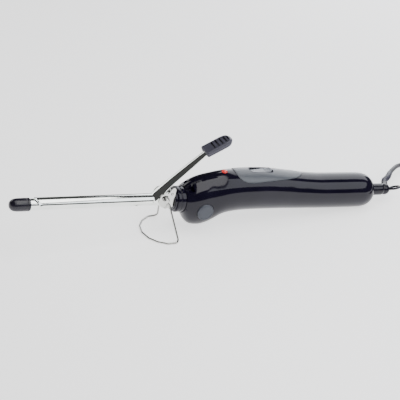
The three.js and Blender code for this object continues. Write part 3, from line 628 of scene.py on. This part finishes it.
for s_ in (-1, 1):
    boolean(shell, lathe("t7", [[0, s_ * 13.6], [7.75, s_ * 13.6], [7.75, s_ * 19], [0, s_ * 19]], 64, axis="y", at=(8.9, 0, -5.2), rnd=0))
boolean(shell, boxy("t8", 100 * 1.0, 200, -30, 30, -8, 0, conv=tab))
tidy(shell, True, 30)
halves = []
for name, lo, hi in (("handle_half_left", -40, -.12), ("handle_half_right", .12, 40)):
    h_ = link(name, shell.data.copy())
    boolean(h_, boxy("cut", -30, 200, lo, hi, -50, 50), "INTERSECT")
    tidy(h_, True, 30)
    dress(h_, "gloss", "handle", "gloss_black", "handle_shell_left" if "left" in name else "handle_shell_right")
    halves.append(h_)
bpy.data.objects.remove(shell, do_unlink=True)

panel = pillow("control_panel", .05, .42, 1.25, .35)
def stadium(x0, x1, w, r, n=9):
    out = []
    for cx_, cy_, a0 in ((x1 - r, w - r, 0), (x0 + r, w - r, 90), (x0 + r, -(w - r), 180), (x1 - r, -(w - r), 270)):
        out += [(cx_ + r * math.cos(math.radians(a0 + 90 * k / n)), cy_ + r * math.sin(math.radians(a0 + 90 * k / n))) for k in range(n + 1)]
    return out


boolean(panel, prism_xy("slot", stadium(51.5, 75.5, 4.6, 3.6), 18, 34))
tidy(panel, True, 30)
dress(panel, "panel", "handle", "grey", "switch_panel")

# thin frame round the switch
fr = [Vector((x, y, 0)) for x, y in stadium(51.7, 75.3, 4.4, 3.4, 8)]
frame_line = [row((p.x, p.y, top_z(p.x, p.y) + .18)) for p in fr]
bezel = tube("switch_bezel", frame_line, .00042, 10, closed=True)
dress(bezel, "matte", "handle", "matte_black")
well = boxy("switch_well", 51.6, 75.4, -4.5, 4.5, 18.9, 19.6)
dress(well, "matte", "handle", "matte_black")

# rocker: smooth curved key with a raised rear and fine ridges
px0, px1 = 52.2, 74.6
rows = []
N = 60
for i in range(N + 1):
    u = i / N; x = px0 + (px1 - px0) * u
    z = 24.9 + 2.05 * (u ** 1.5) + .45 * math.exp(-((u - .93) / .055) ** 2)
    if .62 < u < .86: z += .14 * math.cos((u - .62) / .24 * 2 * math.pi * 4) - .05
    e = min(u, 1 - u) * (px1 - px0)
    r = .55
    drop = r - math.sqrt(max(0, r * r - max(0, r - e) ** 2)) if e < r else 0
    z -= drop
    pw = 3.45 * max(.06, min(1.0, 1 - max(0, 1 - (e - .9) / 3.0) ** 2.6)) ** .5 if e < 3.9 else 3.45
    ring = [(x, -pw, 22.2), (x, -pw, z - .55)]
    for k in range(1, 6):
        a = k / 6 * math.pi / 2; ring.append((x, -pw + min(.5, pw * .3) * (1 - math.cos(a)), z - .5 + .5 * math.sin(a)))
    ring += [(x, -pw * t, z + .0) for t in (.6, .4, .2, -.2, -.4, -.6)]
    for k in range(5, 0, -1):
        a = k / 6 * math.pi / 2; ring.append((x, pw - min(.5, pw * .3) * (1 - math.cos(a)), z - .5 + .5 * math.sin(a)))
    ring += [(x, pw, z - .55), (x, pw, 22.2)]
    rows.append(ring)
v, f = capped(rows)
rocker = mesh("rocker_key", v, f, row, True, 40)
dress(rocker, "rocker", "rocker", "light_grey", "rocker_button")

# side caps, lens
for name, s_ in (("side_cap_l", -1), ("side_cap_r", 1)):
    pr = [[0, 13.9], [6.9, 13.9], [6.9, 14.6], [7.5, 14.6], [7.5, 16.0], [7.25, 16.3], [6.7, 16.32], [6.5, 16.12], [6.2, 16.12], [5.9, 16.3], [3, 16.42], [0, 16.46]]
    cap_ = lathe(name, [[r, a * s_] for r, a in pr], 96, axis="y", at=(8.9, 0, -5.2), rnd=.12, angle=60)
    dress(cap_, "slate", "handle", "slate", "side_cap_left" if s_ < 0 else "side_cap_right")
lens = lathe("power_lens", [[0, 21.5], [2.1, 21.5], [2.1, 24.0], [2.5, 24.2], [2.5, 25.5], [2.35, 26.1], [1.9, 26.6], [1.2, 26.9], [.5, 27.0], [0, 27.02]], 56, axis="z", at=(27.6, 0, 0), rnd=.15, angle=60)
dress(lens, "lens", "handle", "red_lens", "indicator_lens")

# ------------------------------------------------------------ collar, barrel, tip
collar = lathe("heat_collar", [[5.1, -18.5], [9.3, -18.5], [9.9, -17.9], [9.9, -16.5], [9.7, -16.2], [10.7, -16.2], [11.3, -15.6], [11.3, -13.2], [11.0, -12.9], [11.0, -12.4], [11.3, -12.1], [11.3, 9], [7.5, 9], [7.5, -8.6], [5.1, -8.6]], 96, rnd=.2, closed=True, angle=50)
dress(collar, "gloss", "handle", "gloss_black", "neck_collar")
barrel = lathe("heated_barrel", [[4.1, -152], [4.6, -152], [4.8, -151.8], [4.8, -9], [4.1, -9]], 96, rnd=0, closed=True)
dress(barrel, "chrome", "handle", "chrome", "barrel_tube")
tip = lathe("cool_cap", [[0, -164], [1.2, -163.95], [2.4, -163.6], [3.5, -162.9], [4.4, -161.9], [5.05, -160.5], [5.4, -158.9], [5.55, -157.2], [5.6, -155.8], [5.6, -149.6], [5.42, -149.4], [5.42, -148.9], [5.6, -148.7], [5.6, -147.0], [5.2, -146.6],
                         [5.1, -146.6], [5.1, -152.3], [0, -152.3]], 96, rnd=.25, angle=50)
dress(tip, "tip", "handle", "gloss_black", "cool_tip")

# ------------------------------------------------------------ clip, ears and lever
RI, RO = 5.15, 5.65


def clip_start(phi):
    """x of the clip's front lip at the angle phi from the top"""
    z = RO * math.cos(phi)
    t = max(0.0, min(1.0, (5.65 - z) / 5.0))
    return -143.1 + 4.5 * (t ** .75)


nphi, rows = 36, []
H = math.radians(82)
for k in range(150):
    u = k / 149
    ring = []
    for j in range(nphi + 1):
        phi = -H + 2 * H * j / nphi
        x0 = clip_start(phi); x = x0 + (-36.6 - x0) * u
        lipr = .32 * max(0, 1 - (x - x0) / 2.5) ** 2     # lip turned up a little
        ring.append((x, (RO + lipr) * math.sin(phi), (RO + lipr) * math.cos(phi)))
    for phi, sg in ((H, 1), (-H, -1)):
        pass
    inner = []
    for j in range(nphi, -1, -1):
        phi = -H + 2 * H * j / nphi
        x0 = clip_start(phi); x = x0 + (-36.6 - x0) * u
        lipr = .32 * max(0, 1 - (x - x0) / 2.5) ** 2
        inner.append((x, (RI + lipr) * math.sin(phi), (RI + lipr) * math.cos(phi)))
    rows.append(ring + inner)
v, f = grid(rows, True, False)
n = len(rows[0])
for base, fl in ((0, True), (len(v) - n, False)):
    h2 = n // 2
    for j in range(h2 - 1):
        q = (base + j, base + j + 1, base + n - 2 - j, base + n - 1 - j)
        f.append(q if fl else q[::-1])
half_tube = mesh("half_tube", v, f, row, True, 40)

L0 = (-37.6, 2.4); A45 = math.pi / 4


def lever_pt(d, y, upv):
    return (L0[0] + d * math.cos(A45) - upv * math.sin(A45), y, L0[1] + d * math.sin(A45) + upv * math.cos(A45))


KEY = [(-1.5, 4.6, 1.7, 5.95, 3.0), (4, 4.6, 2.1, 6.05, 3.2), (9, 4.6, 2.2, 6.05, 3.2), (11.5, 4.58, 2.25, 5.6, 2.3), (14, 4.55, 2.3, 5.2, 1.5), (24, 4.4, 2.3, 4.8, 1.2),
       (34, 4.15, 2.1, 4.5, 1.15), (42, 3.9, 1.9, 4.2, 1.1), (50, 3.6, 1.6, 3.85, 1.05), (57, 3.3, 1.2, 3.5, 1.0), (62.4, 3.1, 1.0, 3.3, .9)]


def key_at(d):
    for a, b in zip(KEY, KEY[1:]):
        if b[0] >= d:
            t = (d - a[0]) / (b[0] - a[0]); t = t * t * (3 - 2 * t) if a[0] >= 9 and b[0] <= 14 else t
            return [a[i] + (b[i] - a[i]) * t for i in range(5)]
    return KEY[-1]


rows, T = [], .7
for k in range(110):
    d = -1.5 + (62.4 + 1.5) * k / 109
    _, hw, crown, fy, fd = key_at(d)
    outer = [(-fy, -fd), (-fy, -.85 * fd), (-fy + .02, -.6 * fd)]
    m = 20
    outer += [(u * hw, crown * (1 - abs(u) ** 2.1) ** .9) for u in [(i / m * 2 - 1) for i in range(m + 1)]]
    outer += [(fy - .02, -.6 * fd), (fy, -.85 * fd), (fy, -fd)]
    inner = [(y_ * (1 - T / fy), z_ - (T if abs(y_) < fy - .1 else .0)) for y_, z_ in outer][::-1]
    rows.append([lever_pt(d, y_, z_) for y_, z_ in outer + inner])
v, f = grid(rows, True, False)
n = len(rows[0])
for base, fl in ((0, True), (len(v) - n, False)):
    for j in range(n // 2 - 1):
        q = (base + j, base + j + 1, base + n - 2 - j, base + n - 1 - j)
        f.append(q if fl else q[::-1])
lever = mesh("lever", v, f, row, True, 38)
boolean(lever, lathe("t9", [[0, -60], [RI - .05, -60], [RI - .05, -18], [0, -18]], 64, rnd=0))
EAR = [(-37.4, 1.0), (-34.6, -.6), (-31.0, -3.0), (-27.5, -3.9), (-24.2, -3.0), (-21.4, 0.0), (-20.4, 3.5), (-20.9, 6.2), (-23.6, 9.0), (-26.2, 10.4), (-35.2, 1.6), (-37.4, 3.0)]
ears = []
for s_ in (-1, 1):
    y0, y1 = sorted((s_ * 5.3, s_ * 6.05))
    e_ = prism_xz("ear", EAR, y0, y1)
    boolean(e_, lathe("t10", [[0, -9], [1.5, -9], [1.5, 9], [0, 9]], 32, axis="y", at=(-27.5, 0, 4.0), rnd=0))
    bevel(e_, .00014, 2, 35)
    ears.append(e_)
clip = merge("clip_pressing", half_tube, lever, *ears)
tidy(clip, True, 38, merge=False)
dress(clip, "chrome", "clip", "chrome", "clip_and_lever")

# thumb rest: rounded block with round-ended grooves
a30 = math.radians(30); LP, W, TT = 26.5, 7.0, 5.0
rows = []
NS = 150
for i in range(NS + 1):
    x = LP * i / NS
    w = W
    if x < 2.2: w = W - 1.3 * (1 - math.sqrt(max(0, 1 - ((2.2 - x) / 2.2) ** 2)))
    if x > LP - 9.5: w = W * math.sqrt(max(0, 1 - ((x - (LP - 9.5)) / 9.7) ** 2.3)) 
    w = max(w, .8)
    z = 0.0
    if x > LP - 3.5: z -= 2.2 * ((x - LP + 3.5) / 3.5) ** 2
    if x < 1.0: z -= .5 * (1 - x) ** 2
    bot = -TT
    if x > LP - 4: bot = -TT + 2.0 * ((x - LP + 4) / 4) ** 2
    if x < 1.4: bot = -TT + .9 * ((1.4 - x) / 1.4) ** 2
    hh, cz = (z - bot) / 2, (z + bot) / 2
    ring = []
    rr = min(1.5, w * .45, hh * .8)
    for cx_, cz_, a0 in ((w - rr, hh - rr, 0), (-(w - rr), hh - rr, 90), (-(w - rr), -(hh - rr), 180), (w - rr, -(hh - rr), 270)):
        for k in range(9):
            a = math.radians(a0 + k * 90 / 8)
            crown = .55 * (1 - (cx_ / max(w, 1)) ** 2) if a0 in (0, 90) else 0
            ring.append((x, cx_ + rr * math.cos(a), cz + cz_ + rr * math.sin(a)))
        if a0 == 0:
            for t in (.6, .2, -.2, -.6): ring.append((x, (w - rr) * t, z + .0))
        if a0 == 180:
            for t in (-.6, -.2, .2, .6): ring.append((x, (w - rr) * t, bot))
    rows.append([(2.3 + p[0] * math.cos(a30) - p[2] * math.sin(a30), p[1], 46.9 + p[0] * math.sin(a30) + p[2] * math.cos(a30)) for p in ring])
v, f = capped(rows)
rest = mesh("thumb_pad", v, f, row, True, 50)
for gx, gw in ((9.2, 5.0), (13.1, 5.0), (16.9, 5.0), (20.6, 4.3), (23.6, 2.6)):
    pts = [(gx - .8, -gw + .7), (gx - .5, -gw + .15), (gx, -gw), (gx + .5, -gw + .15), (gx + .8, -gw + .7), (gx + .8, gw - .7), (gx + .5, gw - .15), (gx, gw), (gx - .5, gw - .15), (gx - .8, gw - .7)]
    boolean(rest, prism_xy("sl", pts, -1.5 if gx < 23 else -1.9, 3, conv=lambda p: row((2.3 + p[0] * math.cos(a30) - p[2] * math.sin(a30), p[1], 46.9 + p[0] * math.sin(a30) + p[2] * math.cos(a30)))))
pk = prism_xz("pk", [lever_pt(d, 0, u)[::2] for d, u in ((46, -2.3), (62.9, -2.3), (62.9, 1.5), (46, 2.4))], -4.4, 4.4)
boolean(rest, pk)
tidy(rest, True, 50)
dress(rest, "matte", "clip", "matte_black", "thumb_rest")

# ------------------------------------------------------------ saddle, pivots, spring
def arc(cx, cz, r, a0, a1, n):
    return [(cx + r * math.cos(math.radians(a0 + (a1 - a0) * i / n)), cz + r * math.sin(math.radians(a0 + (a1 - a0) * i / n))) for i in range(n + 1)]


WALL = [(-33.4, .4), (-30.3, -3.1), (-26.1, -5.2), (-22.5, -4.6), (-19.4, -3.4), (-18.8, -3.4), (-18.8, 7.0), (-19.0, 12.0)] + arc(-21.2, 12.4, 2.2, 0, 140, 14) + [(-24.6, 10.6)] + arc(-27.5, 4.0, 5.4, 75, 180, 16)
parts = []
for s_ in (-1, 1):
    y0, y1 = sorted((s_ * 6.4, s_ * 7.2))
    w_ = prism_xz("wall", WALL, y0, y1)
    for (hx, hz, hr) in ((-27.5, 4.0, 1.5), (-22.0, 9.0, 1.1)):
        boolean(w_, lathe("t11", [[0, -9], [hr, -9], [hr, 9], [0, 9]], 32, axis="y", at=(hx, 0, hz), rnd=0))
    bevel(w_, .00016, 2, 35)
    parts.append(w_)
web = boxy("web", -19.4, -18.8, -7.1, 7.1, -3.4, 7.0)
boolean(web, lathe("t12", [[0, -22], [5.1, -22], [5.1, -16], [0, -16]], 48, rnd=0))
saddle = merge("pivot_saddle", *parts, web)
tidy(saddle, True, 38, merge=False)
dress(saddle, "steel", "handle", "steel", "saddle_bracket")
for nm, s_ in (("left", -1), ("right", 1)):
    rv = lathe(f"rivet_{nm}", [[r, a * s_] for r, a in [[0, 4.4], [1.9, 4.4], [1.9, 4.95], [1.15, 4.95], [1.15, 10.35], [2.25, 10.35], [2.2, 10.75], [1.7, 11.15], [.9, 11.35], [0, 11.4]]], 48, axis="y", at=(-27.5, 0, 4.0), rnd=.15, angle=60)
    boolean(rv, lathe("t13", [[0, -34], [5.1, -34], [5.1, -20], [0, -20]], 48, rnd=0))
    tidy(rv, True, 45)
    dress(rv, "steel", "handle", "steel", f"pivot_rivet_{nm}")
pinp = lathe("spring_axle", [[0, -7.7], [.55, -7.65], [.8, -7.4], [.8, 7.4], [.55, 7.65], [0, 7.7]], 32, axis="y", at=(-22.0, 0, 9.0), rnd=.1)
dress(pinp, "steel", "handle", "steel", "spring_pin")
hel = []
turns_n, steps = 11, 28
for i in range(turns_n * steps + 1):
    a = 2 * math.pi * i / steps
    hel.append(Vector((-22.0 + 1.5 * math.cos(a), -4.4 + 8.8 * i / (turns_n * steps), 9.0 + 1.5 * math.sin(a))))
leg0 = [Vector((-22.0 + 1.5 + .02, -4.4, 9.0 - k * .7)) for k in (5, 4, 3, 2, 1)]
leg1 = [Vector((-22.0 + 1.5 + .02, 4.4, 9.0 - k * .7)) for k in (1, 2, 3, 4, 5)]
spring = tube("torsion_spring", [row(p) for p in leg0 + hel + leg1], .00036, 10)
dress(spring, "dark_steel", "handle", "steel", "clip_spring")

# ------------------------------------------------------------ wire stand
WR = .8
def tt(x, y, z): return Vector((x * cT + z * sT, y, AZ - x * sT + z * cT))
zf = WR + .031
hx, _, hz = tt(-27.5, 0, 4.0)
def eye(s): return [Vector((hx + 2.25 * math.cos(a), s * 9.2, hz + 2.25 * math.sin(a))) for a in [math.radians(-150 + 300 * (1 - i / 20) + 20) for i in range(17)]]
halfp = [(-17.4, 23.4, zf), (-27.0, 22.8, zf), (-34.6, 17.6, zf), (-39.8, 10.2, zf)]
def sidep(s): return [Vector((x, s * y, z)) for x, y, z in halfp]
leg = lambda s: [tt(-24.0, s * 9.6, .2), tt(-22.6, s * 11.6, -4.6)]
def bent(P, r):
    out = [P[0]]
    for i in range(1, len(P) - 1):
        a, b = (P[i - 1] - P[i]), (P[i + 1] - P[i])
        ha = math.acos(max(-1, min(1, a.normalized().dot(b.normalized())))) / 2
        t = min(r / max(math.tan(ha), 1e-3), a.length * .48, b.length * .48)
        s, e = P[i] + a.normalized() * t, P[i] + b.normalized() * t
        out += [s * (1 - u) ** 2 + P[i] * 2 * u * (1 - u) + e * u * u for u in [k / 8 for k in range(9)]]
    return out + [P[-1]]
line_s = eye(-1) + leg(-1) + sidep(-1) + [Vector((-41.9, 0, zf))] + sidep(1)[::-1] + leg(1)[::-1] + eye(1)[::-1]
stand = tube("folding_stand", [tab(p) for p in resample(bent(line_s, 3.2), .55)], WR * MM, 20)
dress(stand, "wire_steel", "stand", "steel", "wire_stand")

# ------------------------------------------------------------ swivel, hanging loop
bx = BALL[0]
stem = lathe("swivel_body", [[0, 163], [7.0, 163], [7.0, 166], [5.1, 166.5], [5.1, 185.4], [5.5, 185.7], [5.5, 196.6], [5.25, 197.4], [5.05, 197.9], [4.9, 198.3]] +
             [[5.3 * math.sin(a), bx - 5.3 * math.cos(a)] for a in [math.radians(58 + i * 6) for i in range(20)]] + [[0, bx + 5.3]], 96, z=SW_Z, rnd=.1, angle=55)
U = EXIT
stub_line = [row(Vector(BALL) + U * k) for k in (0, 2, 4, 5, 6, 7, 7.6, 8.2, 8.6, 9.0)]
stub = tube("stub", stub_line, .003, 40, rfun=lambda i: [3.9, 3.85, 3.7, 3.6, 3.5, 3.4, 3.35, 3.3, 3.2, 2.9][i] * MM, angle=60)
stem = merge("swivel_body", stem, stub)
tidy(stem, True, 50, merge=False)
dress(stem, "gloss", "swivel", "gloss_black", "swivel_stem")
Rx = Matrix.Rotation(-.24, 3, "Y") @ Matrix.Rotation(-.40, 3, "X"); lc = Vector((bx + 5.3 + 6.4, 0, SW_Z + .9))
circ = [row(lc + Rx @ Vector((4.7 * math.cos(a), 4.7 * math.sin(a), 0))) for a in [2 * math.pi * i / 72 for i in range(72)]]
loop = tube("loop", circ, .00102, 18, closed=True)
nk = [row(lc + Rx @ Vector((x, 0, 0))) for x in (-7.0, -6.5, -6.0, -5.5, -4.9, -4.4)]
neck = tube("nk", nk, .0012, 20, rfun=lambda i: [1.6, 1.5, 1.25, 1.15, 1.25, 1.4][i] * MM)
loop = merge("cord_loop", loop, neck)
dress(loop, "gloss", "swivel", "gloss_black", "hanging_loop")

# ------------------------------------------------------------ CAD nodes that stay: materials
KEEP = {"tip_plug": "ceramic", "heater_core": "ceramic", "mica_sleeve": "mica", "heater_lead_line": "wire", "heater_lead_neutral": "wire", "thermal_fuse": "white",
        "shell_screw_1": "steel", "shell_screw_2": "steel", "shell_screw_3": "steel", "switch_body": "matte", "rocker_pin": "steel", "indicator_lamp": "white",
        "circuit_board": "board", "dropper_resistor": "ceramic", "lead_to_switch_line": "wire", "lead_to_switch_neutral": "wire", "swivel_socket": "matte",
        "contact_disc": "brass", "swivel_bush": "white"}
for n_, m_ in KEEP.items():
    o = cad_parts[n_]
    o = o if hasattr(o, "data") else bpy.data.objects[n_]
    o.data.materials.clear(); o.data.materials.append(M[m_])

# ------------------------------------------------------------ floor and light
fm, ft, fb = nt("floor")
fb.inputs["Base Color"].default_value = (.66, .66, .66, 1)
fb.inputs["Roughness"].default_value = .9
fb.inputs["Specular IOR Level"].default_value = 0.0
fb.inputs["Emission Color"].default_value = (1, 1, 1, 1)
fb.inputs["Emission Strength"].default_value = 1.35
v = [(-6, -6, -.0002), (6, -6, -.0002), (6, 6, -.0002), (-6, 6, -.0002)]
floor = mesh("floor", v, [(0, 1, 2, 3)], lambda p: Vector(p), False)
floor.data.materials.append(fm)


def area(name, loc, target, w, h, power, col=(1, 1, 1)):
    l = bpy.data.lights.new(name, "AREA"); l.shape = "RECTANGLE"; l.size, l.size_y = w, h
    l.energy = power; l.color = col
    o = bpy.data.objects.new(name, l); bpy.context.scene.collection.objects.link(o)
    o.location = loc
    o.rotation_mode = "QUATERNION"
    o.rotation_quaternion = (Vector(target) - Vector(loc)).to_track_quat("-Z", "Y")
    return o


def card(name, centre, facing, w, h, radiance, col=(1, 1, 1)):
    o = area(name, centre, Vector(centre) + Vector(facing), w, h, radiance * math.pi * w * h, col)
    return o


card("wall_back", (.76, .74, .31), (0, -1, 0), .80, .62, 4.2, (.93, .95, 1))
card("ceiling_back", (.74, .40, .62), (0, 0, -1), .80, .66, 3.9, (.94, .96, 1))
card("ceiling_front", (.62, -.60, .56), (0, .22, -.97), .74, .84, 3.0, (.92, .95, 1))
card("ceiling_left", (.03, -.38, .64), (0, 0, -1), .42, 1.04, 4.4)
card("wall_left", (-.43, .76, .38), (.1, -1, 0), .46, .40, 3.4)
w_ = bpy.data.worlds.new("world"); bpy.context.scene.world = w_; w_.use_nodes = True
w_.node_tree.nodes["Background"].inputs[0].default_value = (1, 1, 1, 1)
w_.node_tree.nodes["Background"].inputs[1].default_value = .07
